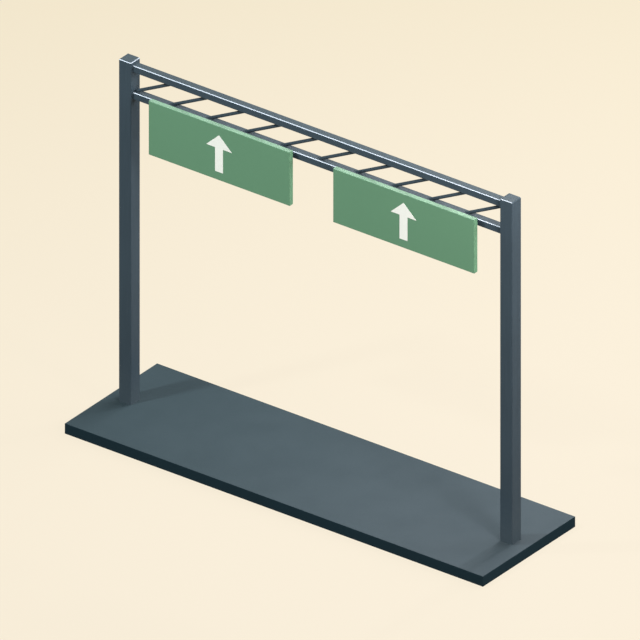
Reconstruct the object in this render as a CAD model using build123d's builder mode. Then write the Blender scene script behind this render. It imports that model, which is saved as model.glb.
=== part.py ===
from build123d import *

import os

# Overhead sign gantry: two box-section posts stand in a base slab and carry a flat
# lattice girder, and two sign boxes hang on the front of its lower chord.
# Millimetres. X runs along the span, -Y is the side that drivers see, Z is up,
# and the origin is at the middle of the slab's underside.

# ---- Driving dimensions ----

# Base slab
slab_end_margin = 262.5  # post's outer face to the slab's end
slab_width = 2615.0
slab_thickness = 200.0
slab_arris = 4.0  # chamfer round the top edge

# Posts, square boxes of plate with their corner welds dressed to a chamfer
post_spacing = 8100.0  # between the posts' centres
post_height = 6660.0  # slab's top to the top of the cap
post_size = 260.0
post_wall = 8.0
post_corner = 10.0
post_embedment = 130.0  # how far the foot stands down in the slab
cap_thickness = 15.0
cap_chamfer = 10.0

# Lattice girder, chords that are boxes of plate too and round tubular braces
chord_depth = 153.0  # across the girder
chord_height = 134.0
chord_wall = 8.0
chord_corner = 10.0
chord_pitch = 522.0  # between the chords' centres
girder_drop = 67.0  # top of the post down to the top of the upper chord
bay_count = 10
brace_diameter = 60.0
brace_wall = 4.0
brace_inset = 6.0  # how far inside the chords its centre line meets the bay's ends

# Sign boxes, folded from sheet
sign_spacing = 3920.0  # between the signs' centres
sign_width = 2996.0
sign_height = 1044.0
sign_depth = 95.0
sign_sheet = 3.0
sign_bend_radius = 5.0  # inside the folds
sign_rise = 66.0  # top of the lower chord up to the top of the sign

# Rails that carry each sign on the lower chord
rail_count = 3
rail_end_margin = 298.0  # sign's end to the nearest rail's centre
rail_width = 60.0
rail_depth = 75.0
rail_wall = 4.0
rail_corner = 3.0
rail_foot_gap = 60.0  # bottom of the sign up to the rail's lower end

# Arrow on each sign's face
arrow_width = 542.0
arrow_height = 717.0
arrow_head_height = 255.0
arrow_shaft_width = 167.0
arrow_top_gap = 166.0  # top of the sign down to the tip
arrow_thickness = 3.0

# ---- Places that follow from them ----

slab_length = post_spacing + post_size + 2 * slab_end_margin
post_foot_z = slab_thickness - post_embedment
post_top_z = slab_thickness + post_height
cap_z = post_top_z - cap_thickness

girder_length = post_spacing - post_size
upper_chord_z = post_top_z - girder_drop - chord_height / 2
lower_chord_z = upper_chord_z - chord_pitch
brace_mid_z = (upper_chord_z + lower_chord_z) / 2
girder_gap = chord_pitch - chord_height
bay_length = girder_length / bay_count

sign_top_z = lower_chord_z + chord_height / 2 + sign_rise
sign_mid_z = sign_top_z - sign_height / 2
sign_bottom_z = sign_top_z - sign_height
sign_back_y = -chord_depth / 2 - rail_depth
sign_front_y = sign_back_y - sign_depth
sign_outer_radius = sign_bend_radius + sign_sheet

rail_pitch = (sign_width - 2 * rail_end_margin) / (rail_count - 1)
rail_top_z = lower_chord_z + chord_height / 2
rail_bottom_z = sign_bottom_z + rail_foot_gap

sides = {"left": -1, "right": 1}


def write_piece(piece, name):
    """Label a finished piece and write it to its own file."""
    piece.part.label = name
    export_step(piece.part, f"parts/{name}.step")


def draw_outline(sketch, width, depth, corner):
    """Draw a rectangle with chamfered corners in an open sketch."""
    Rectangle(width, depth)
    chamfer(sketch.vertices(), corner)


def draw_box_section(sketch, width, depth, wall, corner):
    """Draw a box section's outline and bore in an open sketch."""
    draw_outline(sketch, width, depth, corner)
    Rectangle(width - 2 * wall, depth - 2 * wall, mode=Mode.SUBTRACT)


def make_base_slab():
    """One cast slab with a pocket for each post's foot."""
    with BuildPart() as slab:
        with BuildSketch(Plane.XY):
            Rectangle(slab_length, slab_width)
        extrude(amount=slab_thickness)
        top_face = slab.faces().sort_by(Axis.Z)[-1]
        chamfer(top_face.edges(), slab_arris)
        with BuildSketch(Plane.XY.offset(slab_thickness)) as pockets:
            with GridLocations(post_spacing, 0, 2, 1):
                draw_outline(pockets, post_size, post_size, post_corner)
        extrude(amount=-post_embedment, mode=Mode.SUBTRACT)
    write_piece(slab, "base_slab")


def make_post(side):
    """A hollow post, from the bottom of its pocket up to its cap."""
    with BuildPart() as post:
        with BuildSketch(Plane.XY.offset(post_foot_z)) as section:
            with Locations((sides[side] * post_spacing / 2, 0)):
                draw_box_section(section, post_size, post_size, post_wall, post_corner)
        extrude(amount=cap_z - post_foot_z)
    write_piece(post, f"{side}_post")


def make_post_cap(side):
    """A cap plate, flush with the post all round, with its top edge chamfered."""
    with BuildPart() as cap:
        with BuildSketch(Plane.XY.offset(cap_z)) as outline:
            with Locations((sides[side] * post_spacing / 2, 0)):
                draw_outline(outline, post_size, post_size, post_corner)
        extrude(amount=cap_thickness)
        chamfer(cap.faces().sort_by(Axis.Z)[-1].edges(), cap_chamfer)
    write_piece(cap, f"{side}_post_cap")


def make_chord(name, height):
    """A chord of the girder, butted between the two posts."""
    with BuildPart() as chord:
        with BuildSketch(Plane.YZ.offset(-girder_length / 2)) as section:
            with Locations((0, height)):
                draw_box_section(section, chord_depth, chord_height, chord_wall, chord_corner)
        extrude(amount=girder_length)
    write_piece(chord, name)


def make_brace(bay):
    """A round tube across one bay, mitred to the faces of the chords and posts.

    Its centre line rises from just inside the lower chord's top at the left end
    of the bay to just inside the upper chord's underside at the right end.
    """
    bay_mid_x = -girder_length / 2 + (bay + 0.5) * bay_length
    middle = (bay_mid_x, 0, brace_mid_z)
    along = Vector(bay_length, 0, girder_gap + 2 * brace_inset)
    reach = along.length / 2 + brace_diameter * bay_length / girder_gap
    with BuildPart() as brace:
        with BuildSketch(Plane(origin=middle, x_dir=(0, 1, 0), z_dir=along)):
            Circle(brace_diameter / 2)
            Circle(brace_diameter / 2 - brace_wall, mode=Mode.SUBTRACT)
        extrude(amount=reach, both=True)
        with Locations((0, 0, brace_mid_z)):
            Box(girder_length, chord_depth, girder_gap, mode=Mode.INTERSECT)
    write_piece(brace, f"brace_{bay + 1:02d}")


def make_sign_box(side):
    """A shallow box folded from sheet, closed in front and open at the back."""
    with BuildPart() as box:
        with BuildSketch(Plane.XZ.offset(-sign_back_y)):
            with Locations((sides[side] * sign_spacing / 2, sign_mid_z)):
                Rectangle(sign_width, sign_height)
        extrude(amount=sign_depth)
        fillet(box.faces().sort_by(Axis.Y)[0].edges(), sign_outer_radius)
        offset(amount=-sign_sheet, openings=box.faces().sort_by(Axis.Y)[-1])
    write_piece(box, f"{side}_sign_box")


def make_sign_back(side):
    """The cover that closes a sign box, flush inside its folded sides."""
    cover_width = sign_width - 2 * sign_sheet
    cover_height = sign_height - 2 * sign_sheet
    with BuildPart() as cover:
        with BuildSketch(Plane.XZ.offset(-sign_back_y)):
            with Locations((sides[side] * sign_spacing / 2, sign_mid_z)):
                Rectangle(cover_width, cover_height)
        extrude(amount=sign_sheet)
    write_piece(cover, f"{side}_sign_back")


def make_sign_rail(side, number):
    """An upright rail between a sign's back and the front of the lower chord."""
    rail_offset = (number - (rail_count - 1) / 2) * rail_pitch
    rail_x = sides[side] * sign_spacing / 2 + rail_offset
    rail_y = -chord_depth / 2 - rail_depth / 2
    with BuildPart() as rail:
        with BuildSketch(Plane.XY.offset(rail_bottom_z)) as section:
            with Locations((rail_x, rail_y)):
                draw_box_section(section, rail_width, rail_depth, rail_wall, rail_corner)
        extrude(amount=rail_top_z - rail_bottom_z)
    write_piece(rail, f"{side}_sign_rail_{number + 1}")


def make_arrow(side):
    """An upright arrow plate on a sign's face, centred across it."""
    tip_z = sign_top_z - arrow_top_gap
    shoulder_z = tip_z - arrow_head_height
    tail_z = tip_z - arrow_height
    half_head = arrow_width / 2
    half_shaft = arrow_shaft_width / 2
    outline = [
        (0, tip_z),
        (half_head, shoulder_z),
        (half_shaft, shoulder_z),
        (half_shaft, tail_z),
        (-half_shaft, tail_z),
        (-half_shaft, shoulder_z),
        (-half_head, shoulder_z),
    ]
    with BuildPart() as arrow:
        with BuildSketch(Plane.XZ.offset(-sign_front_y)):
            with Locations((sides[side] * sign_spacing / 2, 0)):
                Polygon(*outline, align=None)
        extrude(amount=arrow_thickness)
    write_piece(arrow, f"{side}_arrow")


os.makedirs("parts", exist_ok=True)

make_base_slab()
make_chord("upper_chord", upper_chord_z)
make_chord("lower_chord", lower_chord_z)
for bay in range(bay_count):
    make_brace(bay)
for side in sides:
    make_post(side)
    make_post_cap(side)
    make_sign_box(side)
    make_sign_back(side)
    make_arrow(side)
    for number in range(rail_count):
        make_sign_rail(side, number)
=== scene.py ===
import math

import bmesh
import bpy
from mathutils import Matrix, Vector


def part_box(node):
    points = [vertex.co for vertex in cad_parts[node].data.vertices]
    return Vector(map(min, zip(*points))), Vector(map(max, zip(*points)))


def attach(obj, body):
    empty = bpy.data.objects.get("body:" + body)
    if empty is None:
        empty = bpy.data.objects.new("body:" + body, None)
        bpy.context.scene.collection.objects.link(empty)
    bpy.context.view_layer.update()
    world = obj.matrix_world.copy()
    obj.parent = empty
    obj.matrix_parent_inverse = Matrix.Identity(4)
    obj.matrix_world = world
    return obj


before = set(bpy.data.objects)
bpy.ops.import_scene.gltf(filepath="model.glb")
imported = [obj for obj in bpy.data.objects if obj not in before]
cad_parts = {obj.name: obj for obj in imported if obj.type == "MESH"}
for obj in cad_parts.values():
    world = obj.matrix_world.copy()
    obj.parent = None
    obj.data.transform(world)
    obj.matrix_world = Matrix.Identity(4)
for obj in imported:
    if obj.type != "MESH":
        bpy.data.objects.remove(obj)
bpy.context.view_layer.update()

for name in ("Cube", "Light", "Camera"):
    if name in bpy.data.objects:
        bpy.data.objects.remove(bpy.data.objects[name])

scene = bpy.context.scene
scene.view_settings.view_transform = "Standard"

# Overhead sign gantry. Metres, in the frame's own axes: X along the span, -Y the
# side that drivers see, Z up. The CAD pieces keep their shapes and get their
# finishes here, and the welds, seals and fasteners between them are added.

SIDES = ("left", "right")
CHORDS = ("upper_chord", "lower_chord")
BRACES = sorted(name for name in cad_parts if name.startswith("brace_"))
RAILS = sorted(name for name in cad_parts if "_sign_rail_" in name)


def box(node):
    """A node's lowest and highest corners."""
    low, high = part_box(node)
    return Vector(low), Vector(high)


slab_low, slab_high = box("base_slab")


# ---- Camera ----

VIEW_DIRECTION = Vector((3.0, -4.0, 2.8)).normalized()  # from the object to the camera
VIEW_CENTRE = Vector((0.0, 0.0, 3.12))
VIEW_WIDTH = 10.88
CAMERA_DISTANCE = 40.0
CLIP_END = 1000.0  # past the floor's far edge


def make_camera():
    """A parallel view at the photograph's angle."""
    data = bpy.data.cameras.new("camera")
    data.type = "ORTHO"
    data.ortho_scale = VIEW_WIDTH
    data.clip_end = CLIP_END
    camera = bpy.data.objects.new("camera", data)
    camera.location = VIEW_CENTRE + VIEW_DIRECTION * CAMERA_DISTANCE
    camera.rotation_euler = (-VIEW_DIRECTION).to_track_quat("-Z", "Y").to_euler()
    scene.collection.objects.link(camera)
    scene.camera = camera


# ---- Shader helpers ----

NO_STRETCH = (1.0, 1.0, 1.0)
WIDE = (0.3, 0.7)  # ranges that most of a noise lies in
NARROW = (0.35, 0.65)
LEVEL = (0.8, 0.95)  # how far up a surface faces, from sloping to level


class Nodes:
    """A node tree, with short ways to add the nodes that the finishes use."""

    def __init__(self, tree):
        self.tree = tree

    def add(self, kind, **settings):
        """A new node with its settings."""
        node = self.tree.nodes.new(kind)
        for key, value in settings.items():
            setattr(node, key, value)
        return node

    def feed(self, target, value):
        """Link a socket, or set a plain number or colour, on an input."""
        if isinstance(value, bpy.types.NodeSocket):
            self.tree.links.new(value, target)
        elif isinstance(value, tuple) and len(target.default_value) == 4:
            target.default_value = (*value, 1.0)
        else:
            target.default_value = value

    def place(self, stretch=NO_STRETCH):
        """The object's own coordinates in metres, scaled along each axis."""
        coordinates = self.add("ShaderNodeTexCoord").outputs["Object"]
        mapping = self.add("ShaderNodeMapping")
        self.feed(mapping.inputs["Vector"], coordinates)
        mapping.inputs["Scale"].default_value = stretch
        return mapping.outputs["Vector"]

    def noise(self, scale, detail=2.0, stretch=NO_STRETCH):
        """Noise with features about 1/scale metres across."""
        texture = self.add("ShaderNodeTexNoise")
        self.feed(texture.inputs["Vector"], self.place(stretch))
        texture.inputs["Scale"].default_value = scale
        texture.inputs["Detail"].default_value = detail
        return texture.outputs["Fac"]

    def cells(self, scale, feature="F1"):
        """Distances in a pattern of cells about 1/scale metres across."""
        texture = self.add("ShaderNodeTexVoronoi", feature=feature)
        self.feed(texture.inputs["Vector"], self.place())
        texture.inputs["Scale"].default_value = scale
        return texture.outputs["Distance"]

    def axis(self, source, axis):
        """One component of a vector socket."""
        split = self.add("ShaderNodeSeparateXYZ")
        self.feed(split.inputs[0], source)
        return split.outputs[axis]

    def remap(self, value, low, high, to_low=0.0, to_high=1.0):
        """A value taken from one range to another, held at its ends."""
        ramp = self.add("ShaderNodeMapRange", interpolation_type="SMOOTHSTEP")
        self.feed(ramp.inputs["Value"], value)
        numbers = {"From Min": low, "From Max": high, "To Min": to_low, "To Max": to_high}
        for key, number in numbers.items():
            ramp.inputs[key].default_value = number
        return ramp.outputs["Result"]

    def calc(self, operation, first, second):
        """The result of a Math node."""
        node = self.add("ShaderNodeMath", operation=operation)
        self.feed(node.inputs[0], first)
        self.feed(node.inputs[1], second)
        return node.outputs[0]

    def blend(self, factor, first, second):
        """From the first colour to the second as the factor goes from 0 to 1."""
        mix = self.add("ShaderNodeMix", data_type="RGBA")
        self.feed(mix.inputs[0], factor)
        self.feed(mix.inputs[6], first)
        self.feed(mix.inputs[7], second)
        return mix.outputs[2]

    def varied(self, factor, color, share):
        """A colour from a share darker to a share lighter as the factor goes from 0 to 1."""
        return self.blend(factor, scaled(color, 1.0 - share), scaled(color, 1.0 + share))

    def normal(self, axis):
        """One component of the surface's direction."""
        return self.axis(self.add("ShaderNodeNewGeometry").outputs["Normal"], axis)

    def facing_up(self, share):
        """A share on the faces that lie level and face up, in soft patches, and 0 elsewhere."""
        level = self.remap(self.normal("Z"), *LEVEL)
        patches = self.remap(self.noise(3.0, detail=4.0), *WIDE, 0.85 * share, 1.15 * share)
        return self.calc("MULTIPLY", level, patches)

    def seen_directly(self):
        """1 for rays from the camera, a mirror or glass, and 0 for rays that light things."""
        rays = self.add("ShaderNodeLightPath").outputs
        straight = self.calc("MAXIMUM", rays["Is Camera Ray"], rays["Is Glossy Ray"])
        return self.calc("MAXIMUM", straight, rays["Is Transmission Ray"])

    def bump(self, height, distance, below=None):
        """A normal from a height of the given distance in metres."""
        node = self.add("ShaderNodeBump")
        self.feed(node.inputs["Height"], height)
        node.inputs["Distance"].default_value = distance
        if below is not None:
            self.feed(node.inputs["Normal"], below)
        return node.outputs["Normal"]


class Shader(Nodes):
    """A new material's node tree, with plain values on its Principled shader."""

    def __init__(self, name, **sockets):
        self.material = bpy.data.materials.new(name)
        self.material.use_nodes = True
        super().__init__(self.material.node_tree)
        self.principled = self.tree.nodes["Principled BSDF"]
        self.output = self.tree.nodes["Material Output"]
        self.link(**sockets)

    def link(self, **sockets):
        """Link sockets or set values on the Principled shader's inputs by name."""
        for key, value in sockets.items():
            self.feed(self.principled.inputs[key.replace("_", " ")], value)


def scaled(color, factor):
    """A colour made lighter or darker."""
    return tuple(channel * factor for channel in color)


# ---- Finishes ----

STEEL = (0.0293, 0.0444, 0.0573)
BRACE = (0.0285, 0.0415, 0.0531)  # on the rails and the welds too
GREEN = (0.0823, 0.1783, 0.1063)
WHITE = (0.597, 0.603, 0.558)
ALUMINIUM = (0.27, 0.295, 0.30)
SLAB_TOP = (0.0226, 0.0350, 0.0412)  # at its left end
SLAB_TOP_LIT_END = (0.0302, 0.0412, 0.0483)  # at its right end, paler as painted light
SLAB_SIDE = (0.0095, 0.0207, 0.0272)
SEALANT = (0.018, 0.028, 0.034)
ZINC = (0.42, 0.44, 0.45)
ROAD_DUST_AND_LIGHT = (0.058, 0.076, 0.086)  # road dust low on the posts, also painted light that makes their shaded feet paler
SETTLED_DUST = (0.052, 0.042, 0.023)  # on level steel
BLEACHED_AND_LIT = (0.479, 0.502, 0.480)  # the sheeting where it faces up, bleached and made paler as painted light
# painted highlight on the chamfers that face up, in a pale colour
EDGE_HIGHLIGHT = (0.416, 0.461, 0.522)
LOWER_DUST_AND_LIGHT = (0.075, 0.066, 0.055)  # dust on the lower chord's top, paler as painted light where the upper chord shades it
# a paler painted highlight for the lower chord, where the upper chord shades it
LOWER_EDGE_HIGHLIGHT = (0.495, 0.548, 0.620)

STEEL_GLOSS = 0.06  # the paint's specular level
STEEL_ROUGHNESS = 0.45
BRACE_ROUGHNESS = 0.5
STEEL_DUST = 0.15  # share of dust on level faces
SHEETING_BLEACH_AND_LIGHT = 0.14
SPLASH_AND_LIGHT_START = 0.2  # above the slab, in metres, where the road dust and painted light are at their full share
SPLASH_AND_LIGHT_HEIGHT = 1.1  # how far up the posts it reaches
SPLASH_AND_LIGHT_SHARE = 0.4
HIGHLIGHT_EDGES = (1.0, 0.55)  # painted highlight on the chamfers along the span, and across it
# the right cap's chamfers across it get no painted highlight
RIGHT_CAP_HIGHLIGHT_EDGES = (0.8, 0.0)
CHAMFER_UP = math.sqrt(0.5)  # how far up a chamfer of 45 degrees faces

PEEL_DEPTH = 0.00012  # relief of the surfaces, in metres
CELL_DEPTH = 0.00006
ROLLED_DEPTH = 0.00004
MASTIC_DEPTH = 0.0004
PORE_DEPTH = 0.0006
GRAIN_DEPTH = 0.00025


def painted_steel(name, color, roughness, highlight=None, highlight_color=EDGE_HIGHLIGHT, dust=SETTLED_DUST):
    """Paint on steel: uneven fading, faint rain streaks, and road dust low down that is also
    painted light, paler where the feet lie in shade.

    Highlight is how much painted highlight the chamfers that face up get, first along the span
    and then across it, in the highlight colour. Dust lies on the faces that look up; the lower
    chord's paler dust is also painted light.
    """
    s = Shader(name, Specular_IOR_Level=STEEL_GLOSS)
    fading = s.noise(0.8, detail=3.0)
    streaks = s.noise(24.0, detail=3.0, stretch=(1.0, 1.0, 0.05))
    weather = s.calc("ADD", s.calc("MULTIPLY", fading, 0.5), s.calc("MULTIPLY", streaks, 0.5))
    faded = s.varied(s.remap(weather, 0.38, 0.62), color, 0.05)
    # Road dust and painted light low on the posts: paler towards the feet, which lie in shade.
    height = s.axis(s.place(), "Z")
    ragged = s.calc("ADD", height, s.calc("MULTIPLY", s.noise(14.0, detail=4.0), 0.5))
    splash_and_light_low = slab_high.z + SPLASH_AND_LIGHT_START
    splash_and_light_high = slab_high.z + SPLASH_AND_LIGHT_HEIGHT
    splash_and_light = s.remap(ragged, splash_and_light_low, splash_and_light_high, SPLASH_AND_LIGHT_SHARE, 0.0)
    dusty_and_lit = s.blend(splash_and_light, faded, ROAD_DUST_AND_LIGHT)
    # Painted highlight: the chamfers that face up turn pale, broken up a little.
    if highlight:
        off_chamfer = s.calc("SUBTRACT", s.normal("Z"), CHAMFER_UP)
        chamfer = s.remap(s.calc("ABSOLUTE", off_chamfer, 0.0), 0.10, 0.16, 1.0, 0.0)
        sideways = s.calc("ABSOLUTE", s.normal("X"), 0.0)
        highlit = s.calc("MULTIPLY", chamfer, s.remap(sideways, 0.4, 0.6, *highlight))
        highlight_breakup = s.remap(s.noise(5.0, detail=5.0), 0.2, 0.45, 0.8, 1.0)
        dusty_and_lit = s.blend(s.calc("MULTIPLY", highlit, highlight_breakup), dusty_and_lit, highlight_color)
    s.link(Base_Color=s.blend(s.facing_up(STEEL_DUST), dusty_and_lit, dust))
    mottle = s.noise(9.0, detail=3.0)
    s.link(Roughness=s.remap(mottle, *WIDE, roughness - 0.04, roughness + 0.04))
    peel = s.noise(260.0, detail=2.0)
    s.link(Normal=s.bump(peel, PEEL_DEPTH))
    return s.material


def sheeting(name, color):
    """Retroreflective sheeting: a clear film over close rows of small cells."""
    s = Shader(name, Roughness=0.45, Specular_IOR_Level=0.1)
    lattice = s.remap(s.cells(230.0, "DISTANCE_TO_EDGE"), 0.03, 0.12)
    age = s.remap(s.noise(0.6, detail=3.0), *NARROW)
    tone = s.varied(age, color, 0.015)
    film = s.blend(lattice, scaled(color, 1.12), tone)
    # Tops that face up turn paler: bleaching and painted light.
    s.link(Base_Color=s.blend(s.facing_up(SHEETING_BLEACH_AND_LIGHT), film, BLEACHED_AND_LIT))
    s.link(Normal=s.bump(lattice, CELL_DEPTH))
    return s.material


def coated_aluminium(name, color):
    """Grey coated sheet with the faint upright grain of the rolled metal."""
    s = Shader(name, Metallic=0.35, Specular_IOR_Level=0.4)
    grain = s.noise(300.0, detail=3.0, stretch=(1.0, 1.0, 0.012))
    handling = s.noise(2.2, detail=4.0)
    tone = s.calc("ADD", s.calc("MULTIPLY", grain, 0.4), s.calc("MULTIPLY", handling, 0.6))
    shade = s.remap(tone, *NARROW)
    s.link(Base_Color=s.blend(shade, scaled(color, 0.92), scaled(color, 1.06)))
    s.link(Roughness=s.remap(handling, *WIDE, 0.38, 0.52))
    s.link(Normal=s.bump(grain, ROLLED_DEPTH))
    return s.material


def zinc_plating(name, color):
    """Bright zinc on the fasteners, clouded in patches."""
    s = Shader(name, Metallic=0.85)
    cloud = s.remap(s.noise(160.0, detail=3.0), *NARROW)
    s.link(Base_Color=s.blend(cloud, scaled(color, 0.85), scaled(color, 1.1)))
    s.link(Roughness=s.remap(s.noise(90.0, detail=2.0), *WIDE, 0.32, 0.5))
    return s.material


def sealing_mastic(name, color):
    """Tooled mastic, matt and slightly uneven."""
    s = Shader(name, Roughness=0.75, Specular_IOR_Level=0.1)
    dust = s.remap(s.noise(60.0, detail=4.0), 0.45, 0.75)
    s.link(Base_Color=s.blend(dust, color, scaled(color, 1.5)))
    s.link(Normal=s.bump(s.noise(120.0, detail=2.0), MASTIC_DEPTH))
    return s.material


def dark_concrete(name):
    """Dark cast concrete: rough formed sides, and a floated top that painted light makes a
    little paler toward its right end.
    """
    s = Shader(name, Specular_IOR_Level=0.02, Coat_Roughness=0.6)
    top = s.remap(s.normal("Z"), 0.5, 0.95)
    blotches = s.noise(1.6, detail=5.0)
    grain = s.noise(420.0, detail=3.0)
    pores = s.remap(s.cells(70.0), 0.06, 0.16)
    tone = s.calc("ADD", s.calc("MULTIPLY", blotches, 0.4), s.calc("MULTIPLY", grain, 0.6))
    shade = s.remap(tone, *NARROW)
    side_color = s.varied(shade, SLAB_SIDE, 0.07)
    left_color = s.varied(shade, SLAB_TOP, 0.05)
    right_lit_color = s.varied(shade, SLAB_TOP_LIT_END, 0.05)
    # Painted light: the top grows paler from its left end to its right.
    along = s.remap(s.axis(s.place(), "X"), slab_low.x, slab_high.x)
    cast = s.blend(top, side_color, s.blend(along, left_color, right_lit_color))
    # Painted shade: the pores are darker than the concrete round them.
    s.link(Base_Color=s.blend(pores, scaled(SLAB_SIDE, 0.6), cast))
    s.link(Roughness=s.remap(s.noise(30.0, detail=3.0), *WIDE, 0.75, 0.9))
    s.link(Coat_Weight=s.calc("MULTIPLY", top, s.remap(blotches, *WIDE, 0.09, 0.11)))
    pitted = s.bump(pores, PORE_DEPTH)
    s.link(Normal=s.bump(grain, GRAIN_DEPTH, below=pitted))
    return s.material


def dress(nodes, material):
    """Give CAD nodes their finish."""
    for node in nodes:
        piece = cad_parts[node]
        piece.data.materials.clear()
        piece.data.materials.append(material)


# ---- Mesh helpers ----

RIPPLE_POINTS = 3  # points along a bead to each ripple of the weld
BEAD_SIDES = 8
SHARP_ANGLE = math.radians(35.0)  # edges that turn by more aren't smoothed


def make_piece(name, bm, material):
    """Turn a finished bmesh into a piece that stands on the frame."""
    bmesh.ops.recalc_face_normals(bm, faces=bm.faces)
    mesh = bpy.data.meshes.new(name)
    bm.to_mesh(mesh)
    bm.free()
    mesh.shade_smooth()
    mesh.set_sharp_from_angle(angle=SHARP_ANGLE)
    mesh.materials.append(material)
    piece = bpy.data.objects.new(name, mesh)
    scene.collection.objects.link(piece)
    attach(piece, "root")


def spread(points, step):
    """Points about step apart and evenly spaced, along a closed run of points."""
    ends = points[1:] + points[:1]
    lengths = [(end - start).length for start, end in zip(points, ends)]
    count = round(sum(lengths) / step / RIPPLE_POINTS) * RIPPLE_POINTS
    spaced = []
    edge = 0
    walked = 0.0
    for i in range(count):
        target = sum(lengths) * i / count
        while walked + lengths[edge] < target:
            walked += lengths[edge]
            edge += 1
        spaced.append(points[edge].lerp(ends[edge], (target - walked) / lengths[edge]))
    return spaced


def add_bead(bm, loop, radius, across, ripple=0.0):
    """Sweep a round bead along a closed loop that never runs along the direction across."""
    rings = []
    for i, point in enumerate(loop):
        tangent = (loop[(i + 1) % len(loop)] - loop[i - 1]).normalized()
        out = tangent.cross(across).normalized()
        up = out.cross(tangent)
        swell = radius * (1 + ripple * math.cos(math.tau * i / RIPPLE_POINTS))
        angles = [math.tau * k / BEAD_SIDES for k in range(BEAD_SIDES)]
        ring = [point + swell * (math.cos(a) * out + math.sin(a) * up) for a in angles]
        rings.append([bm.verts.new(corner) for corner in ring])
    for i, ring in enumerate(rings):
        following = rings[(i + 1) % len(rings)]
        for k in range(BEAD_SIDES):
            bm.faces.new((ring[k - 1], ring[k], following[k], following[k - 1]))


def add_turned(bm, base, axis, profile, segments):
    """Turn a profile of (radius, height) pairs about an axis that stands on a base point."""
    side = axis.orthogonal().normalized()
    other = axis.cross(side)
    angles = [math.tau * k / segments for k in range(segments)]
    rings = []
    for radius, height in profile:
        middle = base + height * axis
        if radius == 0.0:
            rings.append([bm.verts.new(middle)] * segments)
            continue
        ring = [middle + radius * (math.cos(a) * side + math.sin(a) * other) for a in angles]
        rings.append([bm.verts.new(corner) for corner in ring])
    for ring, following in zip(rings, rings[1:]):
        for k in range(segments):
            corners = [ring[k - 1], ring[k], following[k], following[k - 1]]
            bm.faces.new(list(dict.fromkeys(corners)))


def section_loop(centre, first, second, corner):
    """A box section's outline about a centre, from its two half-width vectors."""
    short_first = first - corner * first.normalized()
    short_second = second - corner * second.normalized()
    return [
        centre + first + short_second,
        centre + short_first + second,
        centre - short_first + second,
        centre - first + short_second,
        centre - first - short_second,
        centre - short_first - second,
        centre + short_first - second,
        centre + first - short_second,
    ]


# ---- Welds and seals ----

BOX_CORNER = 0.010  # chamfer along the box sections
WELD_RADIUS = 0.0045
WELD_STEP = 0.0025
WELD_RIPPLE = 0.16
SEAL_RADIUS = 0.009
SEAL_STEP = 0.012
BRACE_INSET = 0.006  # how far inside the chords a brace's centre line meets the bay's ends
BRACE_POINTS = 96  # round a brace's end


def brace_loops(node):
    """The two closed lines on which a brace meets the chords and posts."""
    low, high = box(node)
    chord_low, chord_high = box("upper_chord")
    bay_length = (chord_high.x - chord_low.x) / len(BRACES)
    bay = BRACES.index(node)
    bay_start = chord_low.x + bay * bay_length
    radius = (high.y - low.y) / 2
    start = Vector((bay_start, 0.0, low.z - BRACE_INSET))
    end = Vector((bay_start + bay_length, 0.0, high.z + BRACE_INSET))
    along = (end - start).normalized()
    side = Vector((0.0, 1.0, 0.0))
    up = side.cross(along)
    lower, upper = [], []
    for i in range(BRACE_POINTS):
        angle = math.tau * i / BRACE_POINTS
        line = start + radius * (math.cos(angle) * side + math.sin(angle) * up)
        to_lower = max((low.z - line.z) / along.z, (chord_low.x - line.x) / along.x)
        to_upper = min((high.z - line.z) / along.z, (chord_high.x - line.x) / along.x)
        lower.append(line + to_lower * along)
        upper.append(line + to_upper * along)
    return along, (lower, upper)


def make_brace_welds(material):
    """Weld beads all round both ends of each brace."""
    for node in BRACES:
        bm = bmesh.new()
        along, loops = brace_loops(node)
        for loop in loops:
            add_bead(bm, spread(loop, WELD_STEP), WELD_RADIUS, along, WELD_RIPPLE)
        make_piece(f"{node}_welds", bm, material)


def make_chord_welds(material):
    """Weld beads round a chord's two ends, on the faces of the posts."""
    across = Vector((1.0, 0.0, 0.0))
    for node in CHORDS:
        low, high = box(node)
        middle = (low + high) / 2
        half_y = Vector((0.0, (high.y - low.y) / 2, 0.0))
        half_z = Vector((0.0, 0.0, (high.z - low.z) / 2))
        bm = bmesh.new()
        for x in (low.x, high.x):
            centre = Vector((x, middle.y, middle.z))
            loop = section_loop(centre, half_y, half_z, BOX_CORNER)
            add_bead(bm, spread(loop, WELD_STEP), WELD_RADIUS, across, WELD_RIPPLE)
        make_piece(f"{node}_welds", bm, material)


def post_loop(node, height):
    """A closed line round a post at a height."""
    low, high = box(node)
    centre = Vector(((low.x + high.x) / 2, (low.y + high.y) / 2, height))
    half_x = Vector(((high.x - low.x) / 2, 0.0, 0.0))
    half_y = Vector((0.0, (high.y - low.y) / 2, 0.0))
    return section_loop(centre, half_x, half_y, BOX_CORNER)


def make_post_seams(weld_material, seal_material):
    """The weld under each post's cap, and the mastic that seals its foot in the slab."""
    up = Vector((0.0, 0.0, 1.0))
    for side in SIDES:
        cap_low, _ = box(f"{side}_post_cap")
        bm = bmesh.new()
        loop = post_loop(f"{side}_post", cap_low.z)
        add_bead(bm, spread(loop, WELD_STEP), WELD_RADIUS / 2, up, WELD_RIPPLE)
        make_piece(f"{side}_post_cap_weld", bm, weld_material)
        bm = bmesh.new()
        loop = post_loop(f"{side}_post", slab_high.z)
        add_bead(bm, spread(loop, SEAL_STEP), SEAL_RADIUS, up)
        make_piece(f"{side}_post_foot_seal", bm, seal_material)


# ---- Fasteners ----

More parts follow.
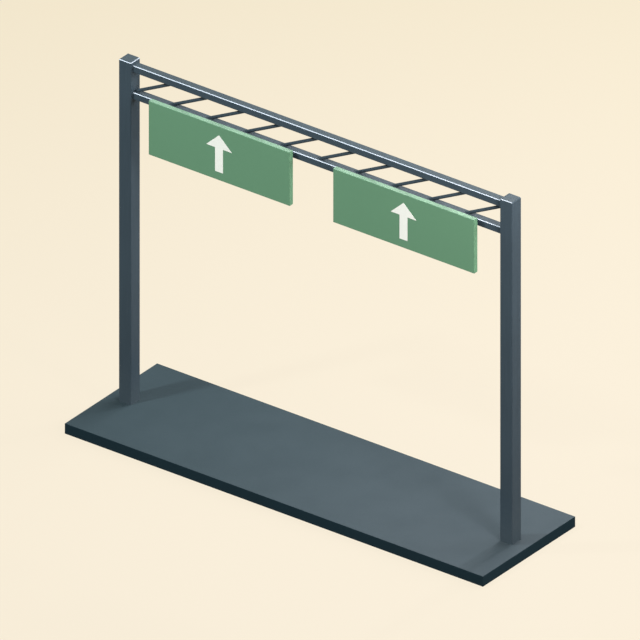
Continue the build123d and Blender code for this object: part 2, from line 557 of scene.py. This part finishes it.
WASHER_RADIUS = 0.016
WASHER_HEIGHT = 0.003
WASHER_SIDES = 24
NUT_RADIUS = 0.0139  # to a corner of the hexagon
NUT_HEIGHT = 0.013
NUT_SIDES = 6
BOLT_RADIUS = 0.008
BOLT_END = 0.006  # how far a bolt stands out of its nut
BOLT_SIDES = 16
CHORD_BOLTS = (0.27, 0.73)  # places up the chord's height
RAIL_BOLTS = 4  # down each rail, through to the sign
RIVET_RADIUS = 0.006
RIVET_HEIGHT = 0.0028
RIVET_RINGS = (25.0, 50.0, 70.0)  # degrees up the dome
RIVET_SIDES = 12
RIVET_PITCH = 0.15
RIVET_EDGE = 0.025  # from the cover's edge
REAR = Vector((0.0, 1.0, 0.0))


def stub(radius, height, shoulder, end):
    """The profile of a short cylinder, chamfered from its shoulder to its end."""
    return [(radius, 0.0), (radius, shoulder * height), (end * radius, height), (0.0, height)]


def add_bolt(bm, base):
    """A washer, a chamfered nut and the end of its bolt, standing on a rear face."""
    stack = (
        (stub(WASHER_RADIUS, WASHER_HEIGHT, shoulder=0.8, end=0.96), WASHER_SIDES),
        (stub(NUT_RADIUS, NUT_HEIGHT, shoulder=0.86, end=0.86), NUT_SIDES),
        (stub(BOLT_RADIUS, BOLT_END, shoulder=0.75, end=0.8), BOLT_SIDES),
    )
    for profile, sides in stack:
        add_turned(bm, base, REAR, profile, sides)
        _, height = profile[-1]
        base = base + height * REAR


def make_rail_bolts(material):
    """Two nuts behind the lower chord for each rail, and bolts down the rail into the sign."""
    chord_low, chord_high = box("lower_chord")
    chord_height = chord_high.z - chord_low.z
    for node in RAILS:
        low, high = box(node)
        x = (low.x + high.x) / 2
        bm = bmesh.new()
        for part in CHORD_BOLTS:
            add_bolt(bm, Vector((x, chord_high.y, chord_low.z + part * chord_height)))
        free_height = chord_low.z - low.z
        for number in range(RAIL_BOLTS):
            z = low.z + free_height * (number + 0.5) / RAIL_BOLTS
            add_bolt(bm, Vector((x, high.y, z)))
        make_piece(f"{node}_bolts", bm, material)


def make_cover_rivets(material):
    """Domed rivets round each sign's back cover."""
    dome = [(RIVET_RADIUS, 0.0)]
    for angle in RIVET_RINGS:
        turn = math.radians(angle)
        dome.append((RIVET_RADIUS * math.cos(turn), RIVET_HEIGHT * math.sin(turn)))
    dome.append((0.0, RIVET_HEIGHT))
    for side in SIDES:
        low, high = box(f"{side}_sign_back")
        first = Vector((low.x + RIVET_EDGE, high.y, low.z + RIVET_EDGE))
        last = Vector((high.x - RIVET_EDGE, high.y, high.z - RIVET_EDGE))
        columns = round((last.x - first.x) / RIVET_PITCH)
        rows = round((last.z - first.z) / RIVET_PITCH)
        bm = bmesh.new()
        for column in range(columns + 1):
            for row in range(rows + 1):
                if column not in (0, columns) and row not in (0, rows):
                    continue
                x = first.x + (last.x - first.x) * column / columns
                z = first.z + (last.z - first.z) * row / rows
                add_turned(bm, Vector((x, high.y, z)), REAR, dome, RIVET_SIDES)
        make_piece(f"{side}_sign_back_rivets", bm, material)


# ---- Stage ----

BACKDROP_NEAR = (0.907, 0.820, 0.673)
BACKDROP_FAR = (0.880, 0.785, 0.601)
BACKDROP_EDGE = (0.932, 0.841, 0.681)  # seen past the floor's near edge in low views
BACKDROP_CENTRE = (4.8, -1.4, 0.0)  # where the floor is palest
BACKDROP_REACH = 22.0  # from there to its far tone
FLOOR_HALF_WIDTH = 400.0
FLOOR_BOUNCE = (0.10, 0.09, 0.08)  # what the floor sends back on to the object
FLOOR_SHADE = 0.03  # share of the floor's look that lamps and shadows make


def make_floor():
    """A plain cream floor that darkens a little into the distance."""
    s = Shader("floor")
    s.tree.nodes.remove(s.principled)
    offset = s.add("ShaderNodeVectorMath", operation="DISTANCE")
    s.feed(offset.inputs[0], s.place())
    offset.inputs[1].default_value = BACKDROP_CENTRE
    distance = s.calc("DIVIDE", offset.outputs["Value"], BACKDROP_REACH)
    far = s.calc("MINIMUM", s.calc("POWER", distance, 2.0), 1.0)
    cream = s.blend(far, BACKDROP_NEAR, BACKDROP_FAR)
    lit = s.add("ShaderNodeBsdfDiffuse")
    s.feed(lit.inputs["Color"], cream)
    glow = s.add("ShaderNodeEmission")
    s.feed(glow.inputs["Color"], cream)
    shown = s.add("ShaderNodeMixShader")
    shown.inputs[0].default_value = 1.0 - FLOOR_SHADE
    s.feed(shown.inputs[1], lit.outputs[0])
    s.feed(shown.inputs[2], glow.outputs[0])
    bounce = s.add("ShaderNodeBsdfDiffuse")
    bounce.inputs["Color"].default_value = (*FLOOR_BOUNCE, 1.0)
    pick = s.add("ShaderNodeMixShader")
    s.feed(pick.inputs[0], s.seen_directly())
    s.feed(pick.inputs[1], bounce.outputs[0])
    s.feed(pick.inputs[2], shown.outputs[0])
    s.feed(s.output.inputs["Surface"], pick.outputs[0])
    r = FLOOR_HALF_WIDTH
    mesh = bpy.data.meshes.new("floor")
    mesh.from_pydata([(-r, -r, 0), (r, -r, 0), (r, r, 0), (-r, r, 0)], [], [(0, 1, 2, 3)])
    mesh.materials.append(s.material)
    floor = bpy.data.objects.new("floor", mesh)
    scene.collection.objects.link(floor)


def make_world():
    """The floor's cream all round, which is only seen and lights nothing."""
    world = bpy.data.worlds.new("world")
    scene.world = world
    world.use_nodes = True
    s = Nodes(world.node_tree)
    to_camera = s.add("ShaderNodeLightPath").outputs["Is Camera Ray"]
    far = scaled(BACKDROP_FAR, 1.0 - FLOOR_SHADE)
    background = s.tree.nodes["Background"]
    s.feed(background.inputs["Color"], s.blend(to_camera, far, BACKDROP_EDGE))
    s.feed(background.inputs["Strength"], s.seen_directly())


# ---- Lamps ----

LAMP_AIM = Vector((0.0, 0.0, 3.0))
LAMPS = {  # place, width, watts, colour
    "key": ((-10.0, -12.0, 23.0), 1.5, 5516.0, (0.944, 1.0, 0.999)),
    "rear": ((4.05, 15.1, 20.5), 1.8, 3002.0, (1.0, 0.966, 0.969)),
    "right": ((22.0, -6.2, 18.0), 5.0, 2833.0, (1.0, 0.934, 0.918)),
    "right_soft": ((16.0, 0.0, 18.0), 12.0, 978.0, (1.0, 0.995, 0.912)),
    "near_right": ((9.0, -2.0, 10.0), 3.0, 585.0, (1.0, 0.907, 0.883)),
    "side_front": ((24.0, -10.0, 5.0), 8.0, 1921.0, (1.0, 0.962, 0.961)),
    "corner_soft": ((12.0, 14.0, 14.0), 12.0, 2924.0, (1.0, 0.994, 0.991)),
    "rear_soft": ((0.0, 20.0, 12.0), 12.0, 5743.0, (1.0, 0.989, 0.990)),
    "rear_fill": ((0.0, 6.0, 16.0), 8.0, 1038.0, (0.988, 0.974, 1.0)),
    "top_soft": ((0.0, -2.0, 30.0), 24.0, 3592.0, (0.777, 0.946, 1.0)),
    "front_fill": ((-6.0, -24.0, 3.0), 8.0, 2738.0, (0.963, 1.0, 0.992)),
}


def make_lamps():
    """Round area lamps, all aimed at the object's middle."""
    for name, (place, width, watts, color) in LAMPS.items():
        data = bpy.data.lights.new(name, "AREA")
        data.shape = "DISK"
        data.size = width
        data.energy = watts
        data.color = color
        lamp = bpy.data.objects.new(name, data)
        lamp.location = place
        lamp.rotation_euler = (LAMP_AIM - Vector(place)).to_track_quat("-Z", "Y").to_euler()
        scene.collection.objects.link(lamp)


# ---- Making ----

make_camera()

steel_paint = painted_steel("steel_paint", STEEL, STEEL_ROUGHNESS, highlight=HIGHLIGHT_EDGES)
right_cap_paint = painted_steel(
    "right_cap_paint", STEEL, STEEL_ROUGHNESS, highlight=RIGHT_CAP_HIGHLIGHT_EDGES)
# The lower chord's paler highlight and dust are painted light where the upper chord shades it.
lower_chord_paint = painted_steel(
    "lower_chord_paint", STEEL, STEEL_ROUGHNESS,
    highlight=HIGHLIGHT_EDGES, highlight_color=LOWER_EDGE_HIGHLIGHT, dust=LOWER_DUST_AND_LIGHT)
brace_paint = painted_steel("brace_paint", BRACE, BRACE_ROUGHNESS)
zinc = zinc_plating("zinc_plating", ZINC)

dress(["left_post", "right_post", "left_post_cap", "upper_chord"], steel_paint)
dress(["lower_chord"], lower_chord_paint)
dress(["right_post_cap"], right_cap_paint)
dress(BRACES + RAILS, brace_paint)
dress([f"{side}_sign_box" for side in SIDES], sheeting("green_sheeting", GREEN))
dress([f"{side}_arrow" for side in SIDES], sheeting("white_sheeting", WHITE))
dress([f"{side}_sign_back" for side in SIDES], coated_aluminium("sign_back", ALUMINIUM))
dress(["base_slab"], dark_concrete("dark_concrete"))

make_brace_welds(brace_paint)
make_chord_welds(brace_paint)
make_post_seams(brace_paint, sealing_mastic("sealing_mastic", SEALANT))
make_rail_bolts(zinc)
make_cover_rivets(zinc)

make_floor()
make_world()
make_lamps()
